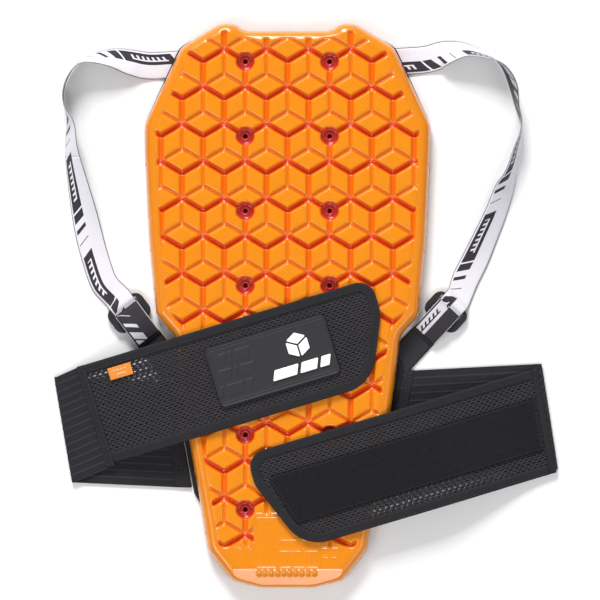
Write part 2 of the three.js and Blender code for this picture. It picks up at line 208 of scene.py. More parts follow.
def foam_look():
    look = Look("plate_foam_moulded", Coat_Weight=1.0, Coat_Roughness=0.2, Subsurface_Weight=0.2,
                Subsurface_Radius=(1.0, 0.32, 0.05), Subsurface_Scale=0.004,
                Specular_IOR_Level=0.12)
    depth = look.attribute("depth")
    face = look.mix(look.noise(0.05), rgb(230, 134, 0), rgb(236, 142, 3))
    # painted shade: rim tints the plate's sloping shoulder and side wall darker and duller
    side = look.mix(look.attribute("rim"), face, rgb(228, 134, 12))
    # painted shade in the recesses: grooves and vent lips get darker and redder the deeper they are
    painted_groove_shade = look.mix(look.times(depth, 1.9, clamp=True), side, rgb(238, 104, 0))
    deep = look.mix(look.scaled(depth, 2.6, -1.6, clamp=True), painted_groove_shade, rgb(226, 56, 6))
    # painted shade: the sunk vent cups are dark crimson
    vent = look.mix(look.attribute("vent"), deep, rgb(186, 40, 34))
    skin = look.math("ADD", look.times(look.noise(1.6), 0.5), look.noise(0.18))
    return look.made(vent, (look.noise(0.4), 0.16, 0.24), skin, 0.25, 0.35)


def woven_look(name, dark, light, pitch=0.9, turn=0.0, depth=0.18, rough=0.82, sheen=0.25):
    """Plain-weave cloth: two crossed sets of yarns, fuzz and faint wear."""
    look = Look(name, Sheen_Weight=sheen, Sheen_Roughness=0.45, Specular_IOR_Level=0.25)
    x, y, _ = look.split(look.place(turn))
    yarns = look.math("MAXIMUM", look.times(look.wave(x, pitch), 0.9), look.wave(y, pitch * 0.8))
    fuzz = look.noise(2.2)
    worn = look.times(look.noise(0.07), 0.48)
    shade = look.scaled(yarns, 0.45, worn, clamp=True)
    return look.made(look.mix(shade, dark, light), (fuzz, 0.15, rough - 0.08),
                     look.scaled(fuzz, 0.35, yarns), 0.6, depth)


def ribbed_look(name, dark, light):
    """Elastic: fine cross threads along the ribs that the mesh holds."""
    look = Look(name, Sheen_Weight=0.1, Sheen_Roughness=0.4, Specular_IOR_Level=0.25)
    along, across = look.attribute("along"), look.attribute("across")
    threads = look.wave(along, 0.9)
    braid = look.wave(look.math("ADD", across, look.times(along, 0.6)), 1.1)
    relief = look.scaled(braid, 0.5, look.scaled(look.noise(2.5), 0.5, threads))
    shade = look.scaled(look.noise(0.12), 0.5, look.times(threads, 0.5), clamp=True)
    body = look.mix(look.times(look.attribute("rib"), 0.8), look.mix(shade, dark, light), rgb(57, 55, 60))
    return look.made(body, (look.noise(0.9), 0.15, 0.72), relief, 0.5, 0.16)


def webbing_look(name, ground, dark, printed):
    """Flat webbing woven in fine ribs; the printed one carries bars and blocks on one half."""
    look = Look(name, Sheen_Weight=0.2, Sheen_Roughness=0.4, Specular_IOR_Level=0.3)
    along, across = look.attribute("along"), look.attribute("across")
    ribs = look.wave(along, 1.15)
    pick = look.wave(look.scaled(along, 0.5, look.math("PINGPONG", across, 1.6)), 0.9)
    fuzz = look.noise(1.8)
    relief = look.scaled(pick, 0.5, look.scaled(fuzz, 0.3, ribs))
    colour = look.mix(look.scaled(ribs, 0.25, look.times(fuzz, 0.3)), ground, dark)
    if printed:
        ink = print_mask(look, along, across)
        face = look.mix(ink, colour, rgb(48, 44, 52))
        reverse = look.mix(look.times(fuzz, 0.5), rgb(38, 36, 42), rgb(60, 57, 64))
        reverse = look.mix(ink, reverse, rgb(205, 202, 210))
        colour = look.mix(look.attribute("face"), reverse, face)
    return look.made(colour, (fuzz, 0.2, 0.62), relief, 0.45, 0.14)


PRINT_REPEAT = 91.0  # mm from one printed block's end to the next
PRINT_BARS = ((1.8, 9.6), (15.6, 19.4), (28.4, 29.3))


def print_mask(look, along, across):
    """1 where the print is: a slanted block with pale marks, then bars that thin out."""
    def band(value, low, high):
        return look.times(look.math("GREATER_THAN", value, low), look.math("LESS_THAN", value, high))

    def repeat(value, length):
        return look.math("FRACT", look.math("DIVIDE", value, length))

    slanted = look.scaled(across, 0.8, along)
    spot = look.times(repeat(slanted, PRINT_REPEAT), PRINT_REPEAT)
    block = band(spot, 40.5, PRINT_REPEAT)
    for low, high in PRINT_BARS:
        block = look.math("MAXIMUM", block, band(spot, low, high))
    dashes = look.math("MAXIMUM", band(repeat(slanted, 5.2), 0.3, 0.74), band(across, 7.6, 8.8))
    marks = look.times(look.times(band(across, 4.6, 8.8), dashes), band(spot, 47, 82))
    ink = look.times(band(across, 2.0, 11.8), look.math("SUBTRACT", block, marks, clamp=True))
    for low, high in ((0.0, 0.5), (24.4, 25.1)):
        ink = look.math("MAXIMUM", ink, band(across, low, high))
    return ink


def plastic_look(name, tone, rough=0.42):
    look = Look(name, Specular_IOR_Level=0.5)
    scuff = look.noise(0.35, 5.0)
    pale = tuple(c * 2.1 + 0.004 for c in tone[:3]) + (1,)
    return look.made(look.mix(look.times(scuff, 0.5), tone, pale), (scuff, 0.22, rough - 0.08),
                     look.noise(3.0), 0.35, 0.05)


def pile_look(name, dark, light):
    look = Look(name, Sheen_Weight=0.12, Sheen_Roughness=0.6, Specular_IOR_Level=0.1)
    fibres = look.noise(1.4, 6.0)
    clumps = look.noise(0.22, 4.0)
    return look.made(look.mix(look.times(fibres, clumps), dark, light), (fibres, 0.1, 0.88),
                     look.math("ADD", fibres, look.times(clumps, 0.6)), 0.9, 0.5)


FOAM = foam_look()
MESH_YARN = woven_look("wing_mesh_yarn", rgb(18, 17, 20), rgb(58, 55, 61), 0.5, 16.6, 0.1, 0.55, 0.12)
BACKING = woven_look("backing_weave", rgb(20, 19, 22), rgb(44, 42, 47), 1.0, 45, sheen=0.12)
BAND = woven_look("join_band_weave", rgb(22, 21, 24), rgb(46, 44, 49), 0.8, sheen=0.1)
TAPE = woven_look("binding_twill", rgb(16, 15, 18), rgb(40, 38, 43), 0.7, 30, 0.14, 0.72, 0.1)
ELASTIC = ribbed_look("belt_elastic_ribs", rgb(18, 17, 20), rgb(46, 44, 50))
PILE = pile_look("loop_pile_brushed", rgb(10, 9, 11), rgb(40, 38, 43))
HOOKS = pile_look("hook_tape_stubble", rgb(12, 12, 13), rgb(38, 38, 41))
RUBBER = plastic_look("badge_rubber_matt", rgb(27, 26, 30), 0.6)
WHITE = plastic_look("emblem_white_rubber", rgb(236, 236, 238), 0.5)
TAG = woven_look("side_tag_satin", rgb(222, 112, 24), rgb(250, 160, 66), 0.6, 16.8, 0.1, 0.6)
TAG_THREAD = woven_look("side_tag_thread", rgb(236, 214, 186), rgb(250, 236, 214), 0.4, 0, 0.05, 0.6)
THREAD = woven_look("sewing_thread", rgb(24, 23, 26), rgb(54, 52, 57), 0.4, 0, 0.05, 0.6)
PRINTED = webbing_look("strap_webbing_printed", rgb(236, 233, 240), rgb(196, 192, 202), True)
WEBBING = webbing_look("strap_webbing_black", rgb(30, 29, 32), rgb(62, 60, 65), False)
PLASTIC = plastic_look("buckle_acetal", rgb(24, 24, 26))

# ---------- mesh helpers ----------


def add_object(name, data):
    made = bpy.data.objects.new(name, data)
    bpy.context.collection.objects.link(made)
    return made


def mesh_object(name, points, faces, material, attributes=()):
    """A mesh from points in mm, with float attributes for its material."""
    mesh = bpy.data.meshes.new(name)
    mesh.from_pydata((np.asarray(points, float) * MM).tolist(), [], [list(f) for f in faces])
    mesh.validate()
    for key, values in dict(attributes).items():
        layer = mesh.attributes.new(key, "FLOAT", "POINT")
        layer.data.foreach_set("value", np.asarray(values, np.float32))
    mesh.materials.append(material)
    mesh.shade_smooth()
    return add_object(name, mesh)


@contextlib.contextmanager
def editing(mesh):
    """A bmesh of a mesh, written back at the end."""
    bm = bmesh.new()
    bm.from_mesh(mesh)
    yield bm
    bm.to_mesh(mesh)
    bm.free()


def split_big_faces(bm):
    bmesh.ops.triangulate(bm, faces=[f for f in bm.faces if len(f.verts) > 4])


def face_outwards(piece):
    with editing(piece.data) as bm:
        bmesh.ops.recalc_face_normals(bm, faces=bm.faces)
    return piece


def apply_modifiers(piece):
    graph = bpy.context.evaluated_depsgraph_get()
    mesh = bpy.data.meshes.new_from_object(piece.evaluated_get(graph))
    piece.modifiers.clear()
    piece.data = mesh
    return piece


def rounded(corners, step=12.0):
    """Outline points from corners (x, y, radius), each corner rounded by an arc."""
    points = []
    for i, (x, y, radius) in enumerate(corners):
        here = np.array((x, y), float)
        back = np.array(corners[i - 1][:2], float) - here
        on = np.array(corners[(i + 1) % len(corners)][:2], float) - here
        lengths = np.hypot(*back), np.hypot(*on)
        half = math.acos(np.clip(back @ on / lengths[0] / lengths[1], -1, 1)) / 2
        cut = min(radius / math.tan(half), 0.48 * min(lengths))
        if cut < 0.1:
            points.append(here)
            continue
        back, on = back / lengths[0], on / lengths[1]
        centre = here + (back + on) / np.hypot(*(back + on)) * cut / math.cos(half)
        start = here + back * cut - centre
        turn = math.pi - 2 * half
        count = max(1, math.ceil(math.degrees(turn) / step))
        way = -1 if back[0] * on[1] - back[1] * on[0] > 0 else 1
        for k in range(count + 1):
            a = way * turn * k / count
            c, s = math.cos(a), math.sin(a)
            points.append(centre + np.array((c * start[0] - s * start[1], s * start[0] + c * start[1])))
    return np.array(points)


def offset(outline, distance):
    """A closed outline moved inwards, without the points that land too near it."""
    before, after = np.roll(outline, 1, 0), np.roll(outline, -1, 0)
    along = after - before
    along /= np.hypot(*along.T)[:, None]
    area = np.sum(outline[:, 0] * after[:, 1] - outline[:, 1] * after[:, 0])
    side = np.stack((-along[:, 1], along[:, 0]), 1) * np.sign(area)
    moved = outline + side * distance
    return moved[edge_distance(moved, outline) > 0.93 * abs(distance)]


def nearest_on(points, outline):
    """The nearest point of a closed outline to each point, and how far it is."""
    best, found = np.full(len(points), np.inf), points.copy()
    for a, b in zip(outline, np.roll(outline, -1, 0)):
        d = b - a
        t = np.clip(((points - a) @ d) / (d @ d), 0, 1)
        spot = a + t[:, None] * d
        away = np.hypot(*(points - spot).T)
        closer = away < best
        best[closer], found[closer] = away[closer], spot[closer]
    return found, best


def edge_distance(points, outline):
    return nearest_on(points, outline)[1]


def inside(points, outline):
    x, y = points.T
    odd = np.zeros(len(points), bool)
    for (ax, ay), (bx, by) in zip(outline, np.roll(outline, -1, 0)):
        if ay == by:
            continue
        crosses = (ay > y) != (by > y)
        odd ^= crosses & (x < (bx - ax) * (y - ay) / (by - ay) + ax)
    return odd


def lattice(outline, pitch, origin=(0, 0), holes=(), stretch=1.0):
    """A triangle lattice that fills an outline, its edge points moved onto the outline.

    holes are (x, y, radius) circles left open. Returns points and triangles."""
    rise = pitch * math.sqrt(3) / 2
    low, high = outline.min(0) - 2 * pitch, outline.max(0) + 2 * pitch
    steps = np.array((rise, pitch * stretch))
    first, last = np.floor((low - origin) / steps), np.ceil((high - origin) / steps)
    c, r = np.meshgrid(*(np.arange(a, b + 1) for a, b in zip(first, last)), indexing="ij")
    points = np.stack((c.ravel(), (r + 0.5 * (c % 2)).ravel()), 1) * steps + origin
    snapped, depth = nearest_on(points, outline)
    depth *= np.where(inside(points, outline), 1, -1)
    for hx, hy, radius in holes:
        away = points - (hx, hy)
        gap = np.hypot(*away.T)
        near = gap - radius < depth
        depth = np.where(near, gap - radius, depth)
        on_circle = (hx, hy) + away / np.maximum(gap, 1e-6)[:, None] * radius
        snapped[near] = on_circle[near]
    keep = depth > -0.5 * pitch
    points = np.where((depth < 0.5 * pitch)[:, None], snapped, points)
    number = np.arange(len(points)).reshape(c.shape)
    a, b = number[:-1, :-1], number[1:, :-1]
    up_a, up_b = number[:-1, 1:], number[1:, 1:]
    even = c[:-1, :-1] % 2 == 0
    halves = (a, b, np.where(even, up_a, up_b)), (np.where(even, b, a), up_b, up_a)
    tri = np.concatenate([np.stack(half, -1).reshape(-1, 3) for half in halves])
    tri = tri[keep[tri].all(1)]
    used, tri = np.unique(tri, return_inverse=True)
    return points[used], tri.reshape(-1, 3)


def boundary_loops(triangles):
    """Ordered boundary loops of a triangle mesh."""
    edges = np.concatenate([triangles[:, [0, 1]], triangles[:, [1, 2]], triangles[:, [2, 0]]])
    directed = set(map(tuple, edges.tolist()))
    onward = {a: b for a, b in directed if (b, a) not in directed}
    loops = []
    while onward:
        first, here = next(iter(onward.items()))
        loop = [first]
        onward.pop(first)
        while here != first and here in onward:
            loop.append(here)
            here = onward.pop(here)
        loops.append(loop)
    return loops


def strip(lower, upper):
    """Quads between two loops of the same length."""
    n = len(lower)
    return [(lower[i], lower[(i + 1) % n], upper[(i + 1) % n], upper[i]) for i in range(n)]


def tube(rings, closed=False):
    """Faces between successive rings of points, capped at both ends unless closed on itself."""
    faces = [face for lower, upper in zip(rings, rings[1:]) for face in strip(lower, upper)]
    return faces + (strip(rings[-1], rings[0]) if closed else [rings[0][::-1], rings[-1]])


def numbered(count, size):
    """The point numbers of count rings with size points each."""
    return np.arange(count * size).reshape(count, size).tolist()


def cushion(name, outline, pitch, top, bottom, material, **options):
    """A closed panel: a lattice on both sides with heights from top(x, y, depth) and bottom()."""
    points, triangles = lattice(outline, pitch, **options)
    depth = edge_distance(points, outline)
    x, y = points.T
    upper = np.column_stack((points, top(x, y, depth)))
    lower = np.column_stack((points, bottom(x, y, depth)))
    n = len(points)
    faces = [tuple(t) for t in triangles] + [tuple(n + t[::-1]) for t in triangles]
    for loop in boundary_loops(triangles):
        faces += strip([n + i for i in loop], loop)
    return face_outwards(mesh_object(name, np.vstack((upper, lower)), faces, material))


def slab(name, outline, low, high, bevel, material):
    """A thin closed piece with a rounded upper edge."""
    inner = offset(outline, bevel)
    rings = [(outline, low), (outline, high - bevel)]
    if len(inner) == len(outline):
        middle = outline + (inner - outline) * 0.3
        rings += [(middle, high - 0.3 * bevel), (inner, high)]
    points = np.vstack([np.column_stack((ring, np.full(len(ring), z))) for ring, z in rings])
    faces = tube(numbered(len(rings), len(outline)))
    piece = face_outwards(mesh_object(name, points, faces, material))
    with editing(piece.data) as bm:
        split_big_faces(bm)
    return piece


def run_of(path):
    """The length so far at each point of a path."""
    return np.concatenate(([0], np.cumsum(np.linalg.norm(np.diff(path, axis=0), axis=1))))


def resample(path, spacing, closed=False):
    """Points at even steps along a path."""
    path = np.vstack((path, path[:1])) if closed else np.asarray(path, float)
    run = run_of(path)
    count = max(2, int(run[-1] / spacing))
    wanted = np.linspace(0, run[-1], count + (0 if closed else 1), endpoint=not closed)
    return np.stack([np.interp(wanted, run, column) for column in path.T], 1)


def smooth_path(stations, spacing, paced=3, fineness=40):
    """A smooth curve through stations, evenly spaced; the first columns, paced, set its knots."""
    stations = np.asarray(stations, float)
    steps = np.linalg.norm(np.diff(stations[:, :paced], axis=0), axis=1)
    knots = np.concatenate(([0], np.cumsum(np.sqrt(steps))))
    slopes = np.gradient(stations, knots, axis=0)
    fine = np.linspace(0, knots[-1], fineness * len(stations))
    k = np.clip(np.searchsorted(knots, fine, "right") - 1, 0, len(knots) - 2)
    h = (knots[k + 1] - knots[k])[:, None]
    t = (fine - knots[k])[:, None] / h
    curve = ((2 * t**3 - 3 * t**2 + 1) * stations[k] + (t**3 - 2 * t**2 + t) * h * slopes[k]
             + (3 * t**2 - 2 * t**3) * stations[k + 1] + (t**3 - t**2) * h * slopes[k + 1])
    return resample(curve, spacing)


def unit(vectors):
    return vectors / np.maximum(np.linalg.norm(vectors, axis=-1, keepdims=True), 1e-9)


def ribbon(name, path, across, run, thickness, material, lane=1, face=1):
    """Flat webbing along a path: path and across are n by 3, run the length so far in mm.

    lane is -1 where the print runs along the far edge, face is -1 where it is underneath."""
    columns = 13
    out = unit(np.cross(unit(np.gradient(path, axis=0)), across))
    share = np.linspace(0, 1, columns)
    edge = 1 - 0.55 * np.abs(2 * share - 1) ** 8
    points, widths = [], []
    for sign in (1, -1):
        for s, thin in zip(share, edge):
            points.append(path + across * (s - 0.5) * WEBBING_WIDTH + out * (sign * 0.5 * thickness * thin))
            widths.append((s if lane > 0 else 1 - s) * WEBBING_WIDTH)
    n = len(path)
    order = [*range(columns), *range(2 * columns - 1, columns - 1, -1)]
    faces = tube([[a * n + j for a in order] for j in range(n)])
    return face_outwards(mesh_object(name, np.vstack(points), faces, material, {
        "along": np.tile(run, 2 * columns), "across": np.repeat(widths, n),
        "face": np.repeat((face > 0, face < 0), columns * n)}))


def sweep(name, path, profile, material, closed=False):
    """A closed tape or cord: profile (side, height) points carried along an n by 3 path."""
    if closed:
        along = unit(np.roll(path, -1, 0) - np.roll(path, 1, 0))
    else:
        along = unit(np.gradient(path, axis=0))
    side = unit(np.cross(along, (0, 0, 1)))
    over = np.cross(side, along)
    points = path[:, None] + side[:, None] * profile[None, :, :1] + over[:, None] * profile[None, :, 1:2]
    faces = tube(numbered(len(path), len(profile)), closed)
    return face_outwards(mesh_object(name, points.reshape(-1, 3), faces, material))


def oval(width, height, count=16, square=3.0):
    """A rounded-box profile, centred."""
    a = np.linspace(0, 2 * math.pi, count, endpoint=False)
    c, s = np.cos(a), np.sin(a)
    return np.stack((width / 2 * np.sign(c) * np.abs(c) ** (2 / square),
                     height / 2 * np.sign(s) * np.abs(s) ** (2 / square)), 1)


def stitches(name, path, material=THREAD, length=2.3, radius=0.3):
    """A row of sewn stitches along a path: short bowed threads that dip in at both ends."""
    gap = 1.1
    run = run_of(path)
    count = int(run[-1] / (length + gap))
    points, faces = [], []
    bow = np.array([-1.2, 0.1, 0.55, 0.1, -1.2]) * radius
    for i in range(count):
        spots = np.linspace(0, length, 5) + i * (length + gap) + gap / 2
        line = np.stack([np.interp(spots, run, column) for column in path.T], 1)
        line[:, 2] += bow
        along = unit(np.gradient(line, axis=0))
        side = unit(np.cross(along, (0, 0, 1)))
        over = np.cross(side, along)
        base = len(points)
        for j in range(5):
            thick = radius * (0.75 if j in (0, 4) else 1)
            for k in range(6):
                a = math.pi / 3 * k
                points.append(line[j] + thick * (math.cos(a) * side[j] + math.sin(a) * over[j]))
        faces += tube([[base + i for i in ring] for ring in numbered(5, 6)])
    return mesh_object(name, points, faces, material)


def outline_of(node):
    """The outer outline of a CAD node's flat underside, in mm, in order."""
    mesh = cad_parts[node].data
    low = min(v.co.z for v in mesh.vertices)
    spots, numbers = {}, {}
    for v in mesh.vertices:
        key = tuple(round(c / MM, 2) for c in v.co)
        numbers[v.index] = spots.setdefault(key, len(spots))
    flat = []
    mesh.calc_loop_triangles()
    for t in mesh.loop_triangles:
        if all(mesh.vertices[i].co.z < low + 2e-5 for i in t.vertices):
            flat.append([numbers[i] for i in t.vertices])
    keys = np.array(list(spots))
    loops = boundary_loops(np.array(flat))
    loop = max(loops, key=lambda l: np.ptp(keys[l][:, 0]) * np.ptp(keys[l][:, 1]))
    return keys[loop][:, :2]


def join(pieces):
    """Several meshes as one piece, named as the first."""
    with bpy.context.temp_override(active_object=pieces[0], selected_editable_objects=pieces):
        bpy.ops.object.join()
    return pieces[0]


def finish_piece(piece, body, slot, *nodes):
    """Rides a piece on a body and hides the CAD nodes that it stands for; slot is not used."""
    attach(piece, body)
    if nodes:
        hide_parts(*nodes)
    return piece


def sewn(name, paths, body):
    """Rows of stitches along several paths, as one piece on a body."""
    return finish_piece(join([stitches(name, path) for path in paths]), body, "binding_tape")


def finish_blend(piece, a, b, start, end, slot, *nodes):
    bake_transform(piece)
    if nodes:
        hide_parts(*nodes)
    return piece


def smoothstep(low, high, value):
    t = np.clip((value - low) / (high - low), 0, 1)
    return t * t * (3 - 2 * t)


def level(height):
    return lambda x, y, depth: np.full_like(x, float(height))


def plateau(low, high, soft, value):
    """1 between low and high, falling to 0 over the soft distance outside them."""
    return smoothstep(low - soft, low, value) * (1 - smoothstep(high, high + soft, value))


# ---------- camera, light and floor ----------


def make_stage():
    scene = bpy.context.scene
    camera = add_object("camera", bpy.data.cameras.new("camera"))
    distance, view_width = 6.0, 0.552
    camera.location = (0.0115, 0.0046, distance)
    camera.data.sensor_width = 36
    camera.data.lens = 36 * (distance - 0.018) / view_width
    scene.camera = camera

    paper = Look("floor_paper", Roughness=0.9, Specular_IOR_Level=0.1)
    pale = paper.mix(paper.noise(0.004), (0.93, 0.93, 0.93, 1), (0.95, 0.95, 0.95, 1))
    paper.feed(pale, paper.shader.inputs["Base Color"])
    bpy.ops.mesh.primitive_plane_add(size=8, location=(0, 0, -0.0006))
    floor = bpy.context.object
    floor.name = "floor"
    floor.data.materials.append(paper.material)

    world = bpy.data.worlds.new("studio")
    scene.world = world
    world.use_nodes = True
    sky = world.node_tree.nodes["Background"].inputs
    sky[0].default_value = (0.95, 0.97, 1, 1)
    sky[1].default_value = 0.27
    for name, power, size, place in (
        ("key", 228, 1.6, (-0.7, 3.8, 2.7)),
        ("top", 22, 1.4, (-1.5, -1.2, 2.2)),
        ("fill", 12, 1.4, (1.8, -1.0, 1.7)),
        ("toe", 20, 0.56, (0.03, -2.05, 2.7)),
    ):
        lamp = bpy.data.lights.new(name, "AREA")
        lamp.energy, lamp.size = power, size
        made = add_object(name, lamp)
        made.location = place
        made.rotation_euler = (-Vector(place)).to_track_quat("-Z", "Y").to_euler()
    scene.view_settings.view_transform = "Standard"


make_stage()

# ---------- impact plate ----------

SIDE = HEX_WIDTH / math.sqrt(3)
SQUASH = HEX_ROW / (1.5 * SIDE)


def groove_distances(x, y):
    """Distances to the nearest hexagon edge and spoke, and 1 where each of them slants."""
    y = y / SQUASH
    best = np.full(x.shape, np.inf)
    middle_x, middle_y = np.zeros_like(x), np.zeros_like(y)
    nearest_row = np.round((y - VENT_TOP_Y / SQUASH - SIDE) / (1.5 * SIDE))
    for row in (nearest_row - 1, nearest_row, nearest_row + 1):
        shift = np.where(row % 2 == 0, 0.0, 0.5)
        row_y = VENT_TOP_Y / SQUASH + SIDE + row * 1.5 * SIDE
        row_x = (np.round(x / HEX_WIDTH - shift) + shift) * HEX_WIDTH
        away = np.hypot(x - row_x, y - row_y)
        closer = away < best
        best = np.where(closer, away, best)
        middle_x, middle_y = np.where(closer, row_x, middle_x), np.where(closer, row_y, middle_y)
    dx, dy = x - middle_x, y - middle_y
    edge, slanted = np.full(x.shape, np.inf), np.zeros_like(x)
    spoke, lower = np.full(x.shape, np.inf), np.zeros_like(x)
    for angle in range(0, 360, 60):
        a = math.radians(angle)
        gap = SIDE * math.sqrt(3) / 2 - (dx * math.cos(a) + dy * math.sin(a))
        slanted = np.where(gap < edge, float(angle % 180 != 0), slanted)
        edge = np.minimum(edge, gap)
    for angle in (90, 210, 330):
        a = math.radians(angle)
        forward = dx * math.cos(a) + dy * math.sin(a)
        sideways = np.abs(dy * math.cos(a) - dx * math.sin(a))
        gap = np.where(forward > 0, sideways, np.hypot(dx, dy))
        lower = np.where(gap < spoke, float(angle != 90), lower)
        spoke = np.minimum(spoke, gap)
    return edge, spoke, slanted, lower


def vent_places():
    return [(x, VENT_TOP_Y - 2 * HEX_ROW * k) for k in range(VENT_ROWS) for x in (-HEX_WIDTH, HEX_WIDTH)]


SHOULDER = 9.5  # the face curves down over this distance from the rim
SIDE_WALL = 5.5  # height of the side below that curve
BORDER = 11.5  # smooth margin between the pattern and the rim, narrower at the top
TOE_Y = -242.5  # the plate's lower end slopes down from here
TOE_SLOPE = 0.34


def plate_height(x, y, depth):
    """Height of the plate's face and how deep in a groove each point lies, from 0 to 1."""
    shoulder = np.clip(depth / SHOULDER, 0, 1)
    low = PLATE_BOTTOM + SIDE_WALL
    dome = low + (PLATE_TOP - low) * np.sqrt(np.clip(1 - (1 - shoulder) ** 2.3, 0, 1))
    dome = np.minimum(dome, PLATE_TOP - TOE_SLOPE * (TOE_Y - y))
    edge, spoke, slanted, lower = groove_distances(x, y)
    border = BORDER - 4.0 * smoothstep(222, 236, y)
    fade = smoothstep(border - 1.6, border + 1.4, depth)
    label = label_mask(x, y)
    fade = fade * (1 - label)
    wide = 1 - smoothstep(1.35, 2.9, edge)
    thin = 1 - smoothstep(0.4, 1.9, spoke)
    groove = np.maximum((3.0 + 1.6 * slanted) * wide, (2.1 + 0.3 * lower) * thin) * fade
    crown = 0.55 * smoothstep(1.0, 4.4, np.minimum(edge, spoke)) * fade
    height = dome - groove + crown - 0.35
    height += label_marks(x, y) - 0.3 * label
    return height, np.clip(groove / 4.6, 0, 1)


def label_mask(x, y):
    """The plain lower end of the plate, and the panel above it, which have no pattern."""
    across = smoothstep(-33, -29.5, x) * (1 - smoothstep(31, 34.5, x))
    panel = across * (1 - smoothstep(-193.5, -190, y))
    return np.maximum(panel, 1 - smoothstep(-224.5, -219.5, y))


def label_marks(x, y):
    """Fine raised lines, dots and a row of plain blocks on the panel, in no writing."""
    lines = [(x0, x1, y0, y0 + 0.8) for x0, x1, y0 in (
        (-29.5, -8.5, -194.9), (-8, 28.5, -215.6), (-8, 12, -225.8), (14.5, 28.5, -225.8),
        (-28.5, -10, -240.3), (-8, 3.4, -240.3), (5, 16, -240.3), (17.6, 29.4, -240.3),
        (31.5, 38, -222.8), (41, 47, -222.8), (32.5, 38, -231.6), (41, 46, -231.6))]
    faint = [(at - 0.3, at + 0.3, -239, high) for at, high in (
        (-29.9, -195), (-23, -195), (-9.6, -195), (4.1, -225.5), (16.7, -225.5), (29.9, -215))]
    dots = [(u - 0.9, u + 0.9, v - 0.5, v + 0.5) for u, v in (
        (-21, -199.5), (-25.3, -206.3), (-43.2, -223.1), (-34, -223.1), (-34.2, -226.9),
        (-42, -231.1), (-33.6, -231.1), (-3.5, -230), (20.9, -230), (25.1, -233.8),
        (-1.6, -235.7), (9, -217.7), (12.9, -217.7))]
    blocks = [(-27 + 5.6 * k, -24.6 + 5.6 * k, -248.4, -244.6) for k in range(10)]
    marks = np.zeros_like(x)
    for height, group in ((0.7, lines), (0.25, faint), (0.5, dots), (0.55, blocks)):
        for x0, x1, y0, y1 in group:
            marks = np.maximum(marks, height * plateau(x0, x1, 0.7, x) * plateau(y0, y1, 0.7, y))
    return marks


def vent_insert(name, x, y):
    """The moulded cup of one vent: lip, sunk floor, ring and through hole."""
    top = PLATE_TOP
    profile = [
        (VENT_RADIUS + 0.9, PLATE_BOTTOM + 1), (VENT_RADIUS + 0.9, top - 5.4), (VENT_RADIUS + 0.3, top - 4.8),
        (VENT_RADIUS - 0.5, top - 5.2), (VENT_RADIUS - 1.0, top - 6.4), (4.6, top - 6.6), (4.1, top - 6.0),
        (3.3, top - 5.6), (2.5, top - 5.9), (2.1, top - 6.8), (1.9, top - 9.0), (1.9, PLATE_BOTTOM + 1),
    ]
    angles = np.linspace(0, 2 * math.pi, 36, endpoint=False)
    points = [(x + r * math.cos(a), y + r * math.sin(a), z) for r, z in profile for a in angles]
    faces = tube(numbered(len(profile), len(angles)), closed=True)
    ones = np.ones(len(points))
    # vent = 1 gives the whole cup the painted recess shade
    cup = mesh_object(name, points, faces, FOAM, {"depth": ones, "rim": 0 * ones, "vent": ones})
    return face_outwards(cup)


def make_plate():
    outline = outline_of("impact_plate")
    vents = vent_places()
    pitch = SIDE / 18
    points, triangles = lattice(outline, pitch, origin=(0, VENT_TOP_Y), stretch=SQUASH,
                                holes=[(x, y, VENT_RADIUS) for x, y in vents])
    depth = edge_distance(points, outline)
    x, y = points.T
    height, groove = plate_height(x, y, depth)
    lip = np.zeros(len(points))
    for vx, vy in vents:
        away = np.hypot(x - vx, y - vy)
        ring = 1 - smoothstep(VENT_RADIUS, VENT_RADIUS + 2.0, away)
        height = np.where(away < VENT_RADIUS + 0.01, np.minimum(height, PLATE_TOP - 4.9), height)
        height -= 0.9 * ring * (away > VENT_RADIUS)
        lip = np.maximum(lip, ring)
    upper = np.column_stack((points, height))
    loops = sorted(boundary_loops(triangles), key=len)
    rim_loop = loops[-1]
    faces = [tuple(t) for t in triangles]
    levels = [PLATE_BOTTOM + 2.2, PLATE_BOTTOM + 0.5, PLATE_BOTTOM]
    insets = [0.0, 0.15, 0.8]
    rows, previous = [upper], rim_loop
    rim_points = points[rim_loop]
    inward = unit(np.column_stack((-rim_points, np.zeros(len(rim_points)))))[:, :2]
    for z, dip in zip(levels, insets):
        start = sum(len(r) for r in rows)
        rows.append(np.column_stack((rim_points + inward * dip, np.full(len(rim_points), z))))
        current = list(range(start, start + len(rim_points)))
        faces += strip(current, previous)
        previous = current
    faces.append(tuple(previous))
    every = np.vstack(rows)
    extra = len(every) - len(upper)
    # rim marks the sloping shoulder and side wall for their painted shade
    rim = np.concatenate((1 - smoothstep(8, 16, depth), np.ones(extra)))
    # depth, with the vent lips, sets the painted recess shade of the foam
    piece = mesh_object("impact_plate_moulding", every, faces, FOAM, {
        "depth": np.concatenate((np.maximum(groove, 0.8 * lip), np.zeros(extra))), "rim": rim,
        "vent": np.zeros(len(every))})
    with editing(piece.data) as bm:
        split_big_faces(bm)
    face_outwards(piece)
    finish_piece(piece, "root", "plate_foam", "impact_plate")
    for i, (vx, vy) in enumerate(vents):
        finish_piece(vent_insert(f"vent_cup_{i + 1}", vx, vy), "root", "plate_foam")


make_plate()

# ---------- backing ----------


def at_height(path, z):
    return np.column_stack((path, np.full(len(path), float(z))))


